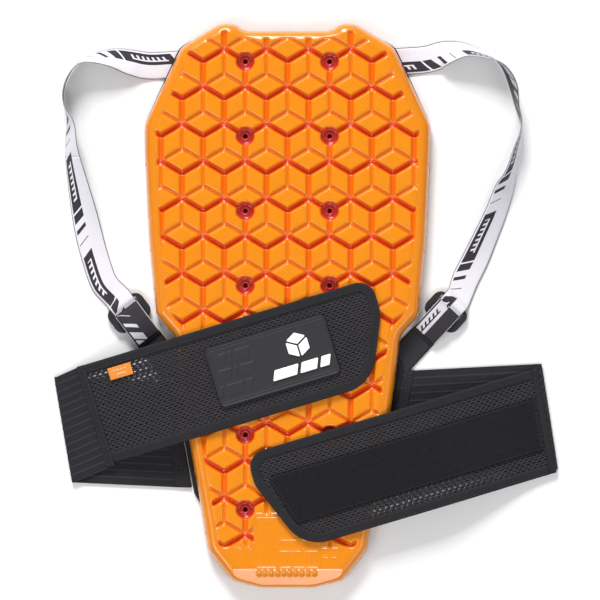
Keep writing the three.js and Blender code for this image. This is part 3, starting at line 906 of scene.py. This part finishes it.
def make_backing():
    outline = resample(outline_of("backing_binding"), 3, closed=True)

    def channels(x, y):
        """Sewn lines: two along the spine, and diagonals between them and the edge."""
        lines = np.minimum(np.abs(np.abs(x) - 34), np.abs(((y + np.abs(x) * 0.8 + 500) % 60) - 30))
        waist = np.minimum(np.abs(y + 60), np.abs(y + 166))
        return np.minimum(lines, waist)

    def under(x, y, depth):
        puff = smoothstep(0, 3.2, channels(x, y))
        return 1.3 - 1.25 * puff * smoothstep(2, 6, depth)

    def over(x, y, depth):
        return BACKING_TOP - 0.9 * (1 - smoothstep(2, 6, depth))

    panel = cushion("backing_panel_quilted", offset(outline, 2.2), 2.6, over, under, BACKING)
    finish_piece(panel, "root", "backing_fabric", "backing_panel")
    middle = resample(offset(outline, 2.5), 2.5, closed=True)
    tape = sweep("backing_binding_tape", at_height(middle, 1.6), oval(5.0, 2.9), TAPE, closed=True)
    finish_piece(tape, "root", "binding_tape", "backing_binding")
    seam = resample(offset(outline, 4.1), 1.5, closed=True)
    sewn("backing_binding_stitches", [at_height(seam, z) for z in (0.35, 2.9)], "root")


make_backing()


def make_pads():
    for node in ("plate_hook_pad_upper", "plate_hook_pad_lower"):
        low, high = node_box(node)

        def stubble(x, y, depth):
            return high[2] - 0.35 + 0.3 * np.sin(x * 2.6) * np.sin(y * 2.6) * smoothstep(0, 2, depth)

        pad = cushion(f"{node}_tape", outline_of(node), 1.2, stubble, level(low[2] + 0.05), HOOKS)
        finish_piece(pad, "root", "hook_tape", node)
        outline_of(node)


make_pads()

# ---------- belt ----------


def wing_place(wing, u, v, height):
    """Row-frame points of wing coordinates, lifted by the drape curve."""
    u, v, height = np.broadcast_arrays(*(np.asarray(a, float) for a in (u, v, height)))
    turn = math.radians(wing["turn"])
    lx = wing["sign"] * u
    x = wing["x"] + lx * math.cos(turn) - v * math.sin(turn)
    y = wing["y"] + lx * math.sin(turn) + v * math.cos(turn)
    return np.stack((x, y, height + drape(wing, u)), -1)


def wing_path(wing, line, height):
    return wing_place(wing, line[:, 0], line[:, 1], height)


def drape(wing, u):
    return WING_RISE * smoothstep(*wing["ramp"], u)


def wing_outline(wing, distance, start):
    half, tip, knee, heel = (wing[k] for k in ("half", "tip", "knee", "heel"))
    slope = (tip - heel) / (knee + half)
    slant = math.hypot(1, slope)
    r = [max(radius - distance, 1) for radius in wing["radii"]]
    return rounded([
        (start - wing["lean"], half - distance, 0),
        (tip - distance, half - distance, r[0]),
        (tip - distance, knee + distance * (slant - 1) / slope, r[1]),
        (heel + distance * (slope - slant), distance - half, r[2]),
        (start, distance - half, 0),
    ])


def lifted(wing, piece):
    """Moves a mesh drawn in wing coordinates (mm) into the row frame."""
    mesh = piece.data
    co = np.zeros(len(mesh.vertices) * 3)
    mesh.vertices.foreach_get("co", co)
    u, v, h = (co.reshape(-1, 3) / MM).T
    mesh.vertices.foreach_set("co", (wing_place(wing, u, v, h) * MM).ravel())
    if wing["sign"] < 0:
        mesh.flip_normals()
    mesh.update()
    return piece


FACE_MESH = dict(pitch=5.5, row=2.3, hole=(1.85, 0.72), height=4.2, lift=0.75, thick=0.8, shift=0)
LINING_MESH = dict(pitch=5.5, row=3.45, hole=(2.1, 1.25), height=3.45, lift=0.1, thick=0.4, shift=0.3)


def mesh_panel(name, wing, pitch, row, hole, height, lift, thick, shift):
    """Open knitted mesh: staggered lens-shaped holes between ridges that run along the wing."""
    edge = wing_outline(wing, 3.4, wing["start"] - 2)
    low, high = edge.min(0), edge.max(0)
    points, faces, index = [], [], {}

    def vertex(u, v, h):
        key = (round(u, 3), round(v, 3))
        if key not in index:
            index[key] = len(points)
            points.append((u, v, h))
        return index[key]

    columns = np.arange(math.floor(low[0] / pitch), math.ceil(high[0] / pitch) + 1)
    rows = np.arange(math.floor(low[1] / row), math.ceil(high[1] / row) + 1)
    c, r = (grid.ravel() for grid in np.meshgrid(columns, rows))
    centres = np.column_stack(((c + 0.5 * (r % 2) + shift) * pitch, r * row))
    a, b = pitch / 2, row / 2
    u_hole, v_hole = hole
    outer = [(-a, -b, 0), (0, -b, lift), (a, -b, 0), (a, b, 0), (0, b, lift), (-a, b, 0)]
    inner = [(-u_hole, -0.1, -0.1), (0, -v_hole, 0.2), (u_hole, -0.1, -0.1),
             (u_hole, 0.1, -0.1), (0, v_hole, 0.2), (-u_hole, 0.1, -0.1)]
    for u, v in centres[inside(centres, edge)]:
        ring = [vertex(u + du, v + dv, height + dh) for du, dv, dh in outer]
        rim = [vertex(u + du, v + dv, height + dh) for du, dv, dh in inner]
        faces += strip(ring, rim)
    piece = lifted(wing, mesh_object(name, points, faces, MESH_YARN))
    solid = piece.modifiers.new("thickness", "SOLIDIFY")
    solid.thickness = thick * MM
    solid.offset = -1
    return face_outwards(apply_modifiers(piece))


def mesh_layers(side, wing, trims):
    """The wing's two layers of mesh; the finer lining shows through the face's holes."""
    for name, layer, nodes, carried in (
        (f"{side}_wing_mesh", FACE_MESH, [f"{side}_wing_panel"], trims),
        (f"{side}_wing_mesh_lining", LINING_MESH, [], []),
    ):
        mesh = finish_piece(mesh_panel(name, wing, **layer), wing["body"], "wing_mesh", *nodes)


def wing_binding(side, wing):
    """Tape folded over the wing's edge, with two rows of stitches; returns both."""
    name, start = f"{side}_wing_binding", wing["start"]
    line = resample(wing_outline(wing, WING_BINDING / 2, start), 2.2)
    tape = sweep(f"{name}_tape", wing_path(wing, line, 4.3), oval(WING_BINDING, 2.9, 18, 3.4), TAPE)
    finish_piece(tape, wing["body"], "binding_tape", name)
    rows = [resample(wing_outline(wing, distance, start), 1.5) for distance in (1.6, WING_BINDING - 1.7)]
    return [tape, sewn(f"{name}_tape_stitches_0", [wing_path(wing, row, 5.72) for row in rows], wing["body"])]


def wing_cushion(name, wing, outline, pitch, top, bottom, material, slot, *nodes):
    """A cushion drawn in wing coordinates, laid on the wing and finished."""
    piece = lifted(wing, cushion(name, outline, pitch, top, bottom, material))
    return finish_piece(piece, wing["body"], slot, *nodes)


def wing_seam(side, wing, outline, height):
    """The tape over the seam of wing and elastic; height is at the tape's edge."""
    return wing_cushion(f"{side}_wing_seam_tape", wing, outline, 1.3,
                        lambda x, y, d: height + 0.6 * smoothstep(0, 1.6, d), level(3.1), TAPE,
                        "binding_tape", f"{side}_wing_seam")


def belt_elastic(side, wing, base, seam_u, seam_v, flat, *nodes):
    """Ribbed elastic from the joining band out to the fold, round it, and on to the wing.

    base is the band's end (top, bottom) and the fold (top, bottom) in plan."""
    ribs = 14
    (band_top, band_bottom), (fold_top, fold_bottom) = np.array(base, float)
    share = np.linspace(0, 1, ribs * 12 + 1)
    band = band_top + share[:, None] * (band_bottom - band_top)
    fold = fold_top + share[:, None] * (fold_bottom - fold_top)
    out = unit(fold - band)
    low_z, high_z = 1.35, 3.95
    radius = (high_z - low_z) / 2
    rows = [at_height(band + (fold - band) * s, low_z) for s in np.linspace(0, 1, 47)]
    for a in np.linspace(0, math.pi, 10)[1:-1]:
        bulge = fold + out * radius * 1.2 * math.sin(a)
        rows.append(at_height(bulge, low_z + radius * (1 - math.cos(a))))
    v = seam_v[0] + share * (seam_v[1] - seam_v[0])
    u = seam_u[0] + share * (seam_u[1] - seam_u[0])
    turn = math.radians(wing["turn"])
    dx, dy = fold[:, 0] - wing["x"], fold[:, 1] - wing["y"]
    fold_u = wing["sign"] * (dx * math.cos(turn) + dy * math.sin(turn))
    fold_v = -dx * math.sin(turn) + dy * math.cos(turn)
    for s in np.linspace(0, 1, 17):
        rows.append(wing_place(wing, fold_u + (u - fold_u) * s, fold_v + (v - fold_v) * s, high_z))
    lengths = np.concatenate((np.linspace(0, 100, 47), 100 + 4 * np.arange(1, 9) / 9,
                              np.linspace(104, 134, 17)))
    rows = np.array(rows)
    n, m = rows.shape[:2]
    normal = unit(np.cross(np.gradient(rows, axis=0), np.gradient(rows, axis=1)))
    rib = np.abs(np.cos(math.pi * ribs * share)) ** 26
    half = 0.45 + 0.4 * rib
    half *= 1 - 0.5 * (np.abs(2 * share - 1) ** 16)
    one, two = rows + normal * half[None, :, None], rows - normal * half[None, :, None]
    points = np.vstack((one.reshape(-1, 3), two.reshape(-1, 3)))
    number = np.arange(n * m).reshape(n, m)
    a, b, c, d = number[:-1, :-1], number[:-1, 1:], number[1:, 1:], number[1:, :-1]
    faces = np.concatenate([np.stack((a, b, c, d), -1), np.stack((a, d, c, b), -1) + n * m])
    rim = [*number[:, 0], *number[-1, 1:], *number[-2::-1, -1], *number[0, -2:0:-1]]
    faces = faces.reshape(-1, 4).tolist() + strip(rim, [n * m + i for i in rim])
    width = np.hypot(*(band_bottom - band_top))
    piece = face_outwards(mesh_object(f"{side}_belt_elastic_ribbed", points, faces, ELASTIC, {
        "along": np.tile(np.repeat(lengths, m), 2), "across": np.tile(share * width, 2 * n),
        "rib": np.tile(rib, 2 * n)}))
    x, y = (fold_top + fold_bottom) / 2
    finish_blend(piece, "root", wing["body"], (x, y, 2.35), (x, y, 2.95), "belt_elastic", *nodes)


def rectangle(left, low, right, high, radius, step=12.0):
    corners = (left, low), (right, low), (right, high), (left, high)
    return rounded([(*corner, radius) for corner in corners], step)


def make_left_wing():
    wing, body = LEFT_WING, "left_wing"
    half, start = wing["half"], wing["start"]
    belt_elastic("left", wing, (((-118.5, -70.3), (-101, -168.2)), ((-213.4, -66.4), (-196.8, -163.8))),
                 (start - 6, start - 6), (half - 0.5, -50.5), (0.1, 0.132),
                 "left_belt_elastic", "left_wing_elastic")
    seam = wing_seam("left", wing, rectangle(start - 7.6, -50.5, start + 0.4, half + 0.2, 1), 5.0)
    v = np.linspace(-49, half - 1, 60)
    sewn("left_wing_seam_stitches_0", [wing_place(wing, start - u, v, 5.65) for u in (6.2, 1.2)], body)
    tape = wing_binding("left", wing)

    def badge_top(u, v, depth):
        rim = 1.55 * smoothstep(0, 0.9, depth) - 0.65 * smoothstep(1.7, 2.6, depth)
        ridge = 0.4 * (smoothstep(3.4, 3.9, depth) - smoothstep(4.5, 5.0, depth))
        return 5.75 + rim + ridge + badge_marks(u, v)

    badge = wing_cushion("left_wing_badge_moulded", wing, rectangle(144, -28.5, 259.5, 28.5, 5, 9), 0.75,
                         badge_top, level(5.6), RUBBER, "badge_rubber", "left_wing_badge")
    emblem = make_emblem(wing, body)

    def tag_top(u, v, depth):
        return 6.3 + 0.25 * smoothstep(0, 0.8, depth)

    outline = rectangle(54, 26, 76, 37.5, 1)
    tag = wing_cushion("left_side_tag_woven", wing, outline, 0.5, tag_top, level(5.75), TAG,
                       "tag_orange", "left_side_tag")
    lines = []
    for k, (v, low, high, length) in enumerate(((34, 57.5, 72, 2.6), (30, 59, 73, 12.5))):
        line = wing_place(wing, np.linspace(low, high, 30), v, 6.58)
        lines.append(stitches(f"left_side_tag_lines_{k}", line, TAG_THREAD, length=length, radius=0.36))
    finish_piece(join(lines), body, "tag_orange")

    def hooks_under(u, v, depth):
        return 1.75 + 0.3 * np.sin(u * 2.4) * np.sin(v * 2.4) * smoothstep(0, 2, depth)

    outline = rectangle(186, -27, 280, 33, 4)
    patch = wing_cushion("left_hook_panel_tape", wing, outline, 1.1, level(3.3), hooks_under, HOOKS,
                         "hook_tape", "left_hook_panel")
    mesh_layers("left", wing, [seam, *tape, badge, emblem, tag, patch])


def badge_marks(u, v):
    """Embossed slanted bars on the badge's near half, in no writing."""
    marks = np.zeros_like(u)
    slanted = u - 0.25 * v
    rows = (((150, 157), (160, 163), (166, 180)), ((150, 162), (165, 168), (171, 184)),
            ((150, 154), (157, 173), (176, 182)))
    for k, bars in enumerate(rows):
        middle = 15 - 14.5 * k
        lane = plateau(middle - 4.7, middle + 4.7, 0.5, v)
        for low, high in bars:
            marks = np.maximum(marks, lane * plateau(low, high, 0.4, slanted))
    return 0.55 * marks


def make_emblem(wing, body):
    """A generic white mark: a hexagon of three rhombi over a slanted bar."""
    parts = []
    centre_u, centre_v, size = 228, 8, 12.5
    for k in range(3):
        a = math.radians(90 + 120 * k)
        tip = np.array((math.cos(a), math.sin(a)))
        left = np.array((math.cos(a + math.pi / 3), math.sin(a + math.pi / 3)))
        right = np.array((math.cos(a - math.pi / 3), math.sin(a - math.pi / 3)))
        quad = np.array([(0, 0), right, tip, left]) * size
        quad = quad * 0.86 + quad.mean(0) * 0.14
        corners = [(centre_u + p[0], centre_v + p[1], 0.8) for p in quad]
        parts.append(slab(f"emblem_rhombus_{k}", rounded(corners, 25), 6.4, 8.15, 0.35, WHITE))
    for k, (low, high) in enumerate(((197, 220), (223, 239), (242, 251))):
        bar = [(low, -18, 0.8), (high, -18, 0.8), (high + 4, -8.5, 0.8), (low + 4, -8.5, 0.8)]
        parts.append(slab(f"emblem_bar_{k}", rounded(bar, 25), 6.4, 8.15, 0.35, WHITE))
    emblem = join(parts)
    emblem.name = "left_wing_emblem_mark"
    return finish_piece(lifted(wing, emblem), body, "emblem_white", "left_wing_emblem")


def make_right_wing():
    wing, body = RIGHT_WING, "right_wing"
    half, start = wing["half"], wing["start"]
    belt_elastic("right", wing, (((115.5, -60.4), (98, -159.7)), ((232.4, -54.3), (247.5, -151.8))),
                 (1.5, 10), (half - 0.7, -half + 0.7), (0.1, 0.15), "right_belt_elastic")
    outline = rounded([(-3, half, 1), (3.5, half, 1), (start + 0.4, -half, 1), (7, -half, 1)])
    seam = wing_seam("right", wing, outline, 4.9)
    tape = wing_binding("right", wing)

    def brushed(u, v, depth):
        rng = np.random.default_rng(7)
        return 6.6 + 0.3 * rng.random(len(u)) - 0.7 * (1 - smoothstep(0, 2.2, depth))

    outline = rounded([(7.5, 23, 2), (12.6, -25.5, 2), (250, -25.5, 4), (264, 23, 4)])
    pile = wing_cushion("right_loop_panel_pile", wing, outline, 1.2, brushed, level(4.9), PILE,
                        "loop_pile", "right_loop_panel")
    edge = resample(offset(resample(outline, 2, closed=True), 1.6), 1.5, closed=True)
    thread = stitches("right_loop_panel_stitches", wing_path(wing, edge, 6.5))
    finish_piece(thread, body, "binding_tape")
    mesh_layers("right", wing, [seam, *tape, pile, thread])


def make_join_bands():
    for node in ("left_belt_join_band", "right_belt_join_band"):
        low, high = node_box(node)
        outline = outline_of(node)
        band = cushion(f"{node}_woven", resample(outline, 2, closed=True), 1.5,
                       lambda x, y, d: high[2] - 0.5 + 0.45 * smoothstep(0, 1.6, d),
                       lambda x, y, d: low[2] + 0.5 - 0.45 * smoothstep(0, 1.6, d), BAND)
        finish_piece(band, "root", "backing_fabric", node)
        climbing = outline[np.argsort(outline[:, 1])]
        bottom, top = climbing[:2].mean(0), climbing[-2:].mean(0)
        rows = [at_height(np.linspace(top + (shift, -1), bottom + (shift, 1), 60), high[2] + 0.02)
                for shift in (-3.2, 0.0, 3.2)]
        sewn(f"{node}_stitches_0", rows, "root")


make_left_wing()
make_right_wing()
make_join_bands()

# ---------- straps and buckles ----------


def in_buckle(buckle, route):
    """Points of a buckle's side view, on its mid-line, in the row frame."""
    a = math.radians(buckle["turn"])
    route = np.asarray(route, float)
    return np.stack((buckle["x"] - route[:, 0] * math.sin(a),
                     buckle["y"] + route[:, 0] * math.cos(a), route[:, 1]), 1)


def buckle_axes(buckle):
    a = math.radians(buckle["turn"])
    return np.array((math.cos(a), math.sin(a), 0)), np.array((-math.sin(a), math.cos(a), 0))


def side_route(buckle, route):
    """A smooth path through a side view."""
    return smooth_path(in_buckle(buckle, route), 0.8)


PRINT_MARKS = {  # where a printed block ends on each strap, and the print's place on its tail
    "left": ((-160.8, -0.9), 29.0),
    "right": ((163.3, 35.9), -6.0),
}


def webbing(name, path, across, run, look, bodies, ends, nodes):
    """A ribbon along a path, with its transform baked in and the CAD nodes that it stands for hidden."""
    slot = "black_webbing" if look["material"] == WEBBING else "printed_webbing"
    piece = finish_blend(ribbon(name, path, across, run, **look), *bodies, *ends, slot, *nodes)


def make_strap(side, stations):
    sign = -1 if side == "left" else 1
    buckle = BUCKLES[side]
    across_buckle, up_buckle = buckle_axes(buckle)
    ground = smooth_path(stations, 2.0, paced=2, fineness=60)
    lean = np.radians(ground[:, 2])
    edge = np.column_stack((ground[:, :2], np.full(len(ground), 1.0)))
    along = unit(np.gradient(edge, axis=0))
    inward = np.stack((-along[:, 1], along[:, 0], 0 * lean), 1) * -sign
    across = inward * np.cos(lean)[:, None] + np.array((0, 0, 1)) * np.sin(lean)[:, None]
    centre = edge + across * WEBBING_WIDTH / 2

    # the last stretch turns into the buckle's own line
    end = side_route(buckle, END_ROUTE)
    keep = (centre - end[0]) @ up_buckle > 14
    centre, across = centre[keep], across[keep]
    end_across = np.broadcast_to(-sign * across_buckle, end.shape)
    bridge = np.linspace(0, 1, 8)[1:-1, None]
    joint = centre[-1] + (end[0] - centre[-1]) * bridge
    joint_across = unit(across[-1] + (end_across[0] - across[-1]) * bridge)
    path = np.vstack((centre, joint, end))
    wide = np.vstack((across, joint_across, end_across))
    free = slice(1, len(path) - len(end) - 1)
    before, after = slice(0, free.stop - 1), slice(2, free.stop + 1)
    for _ in range(6):
        path[free] = (path[before] + 2 * path[free] + path[after]) / 4
        wide[free] = unit(wide[before] + 2 * wide[free] + wide[after])

    run = run_of(path)
    (mark_x, mark_y), tail_print = PRINT_MARKS[side]
    mark = run[np.argmin(np.hypot(path[:, 0] - mark_x, path[:, 1] - mark_y))]
    split = int(np.searchsorted(run, run[-1] * 0.55))
    body, lock = f"{side}_strap", f"{side}_lock"
    look = dict(thickness=1.4, material=PRINTED, lane=-sign, face=-sign)
    for name, part, bodies, ends, nodes in (
        ("upper", slice(0, split + 1), ("root", body),
         [(sign * (SWING_X + near), 220, 1) for near in (-1, 9)], ("strap_anchor", "shoulder_strap")),
        ("lower", slice(split, None), (body, lock), in_buckle(buckle, [(40, 1), (18, 1)]), ["strap_end"]),
    ):
        webbing(f"{side}_shoulder_strap_{name}", path[part], wide[part], run[part] - mark, look,
                bodies, ends, [f"{side}_{node}" for node in nodes])
    line = side_route(buckle, TAIL_ROUTE)
    look = dict(thickness=1.3, material=PRINTED, lane=-sign, face=sign)
    webbing(f"{side}_strap_tail_webbing", line, np.broadcast_to(end_across[0], line.shape),
            tail_print - run_of(line), look, (lock, body), in_buckle(buckle, [(-9, 9), (-14.5, 9)]),
            [f"{side}_strap_tail"])
    line = side_route(buckle, LOOP_ROUTE)
    webbing(f"{side}_lower_webbing", line, np.broadcast_to(across_buckle, line.shape), run_of(line),
            dict(thickness=1.2, material=WEBBING), ("root", body),
            [(sign * (SWING_X + near), 0, 1) for near in (-1, 5)],
            (f"{side}_webbing_loop", f"{side}_webbing_anchor"))
    make_buckle(side, buckle, lock)


def make_buckle(side, buckle, lock):
    """The ladder lock: the CAD frame with rounded edges, and grip ribs on its free bar."""
    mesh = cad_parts[f"{side}_buckle"].data.copy()
    with editing(mesh) as bm:
        bmesh.ops.remove_doubles(bm, verts=bm.verts, dist=1e-5)
        bmesh.ops.dissolve_limit(bm, angle_limit=0.02, verts=bm.verts, edges=bm.edges)
        sharp = [e for e in bm.edges if len(e.link_faces) == 2 and e.calc_face_angle() > 0.9]
        bmesh.ops.bevel(bm, geom=sharp, offset=0.0008, segments=3, profile=0.6, affect="EDGES")
        split_big_faces(bm)
    mesh.materials.clear()
    mesh.materials.append(PLASTIC)
    mesh.shade_smooth()
    piece = add_object(f"{side}_buckle_ladder_lock", mesh)
    reach = np.linspace(-13.5, 13.5, 12)[:, None] * buckle_axes(buckle)[0]
    ribs = [sweep(f"{side}_buckle_rib_{k}", middle + reach, oval(0.5, 0.7, 8, 2.0), PLASTIC)
            for k, middle in enumerate(in_buckle(buckle, [(10.6 + 0.85 * k, 5.75) for k in range(3)]))]
    finish_piece(join([piece, *ribs]), lock, "buckle_plastic", f"{side}_buckle")


make_strap("left", LEFT_STRAP)
make_strap("right", RIGHT_STRAP)
